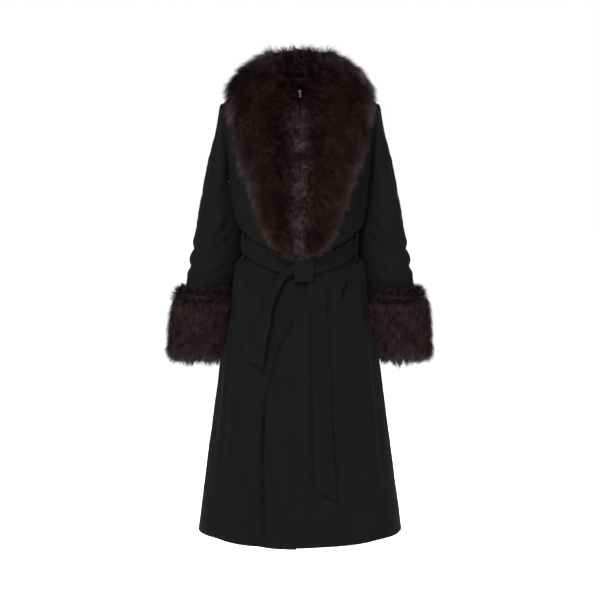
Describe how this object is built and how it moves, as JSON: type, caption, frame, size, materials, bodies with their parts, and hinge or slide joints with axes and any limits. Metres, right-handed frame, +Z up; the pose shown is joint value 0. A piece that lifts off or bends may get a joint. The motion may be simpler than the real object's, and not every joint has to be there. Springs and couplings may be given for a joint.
{
  "type": "belted wool coat",
  "caption": "Long belted wool wrap coat with a wide fur shawl collar, fur cuffs and a knotted cloth belt, filled out as worn, open at neck, cuffs and hem.",
  "frame": {"origin": "midway between the shoulders, at the height where the shoulder seams meet the neckline", "axes": "+Z up, the front faces -Y, +X to the wearer's left"},
  "size_m": [0.6776, 0.3892, 1.182],
  "materials": {
    "wool": "near-black felted wool twill with a soft nap",
    "wool_belt": "the same near-black wool, doubled and edge-stitched",
    "fur": "dark burgundy-brown long-haired fur with paler tips",
    "hook_wire": "bright bent wire"
  },
  "bodies": {
    "root": {"back": "wool", "front_left": "wool", "front_right": "wool", "sleeve_left": "wool", "sleeve_right": "wool", "cuff_left": "fur", "cuff_right": "fur", "collar_left": "fur", "collar_right": "fur", "neck_hook": "hook_wire", "neck_eye": "hook_wire", "belt_band": "wool_belt", "belt_knot": "wool_belt", "belt_tail_left": "wool_belt", "belt_tail_right": "wool_belt", "belt_loop_left": "wool_belt", "belt_loop_right": "wool_belt"}
  },
  "joints": []
}
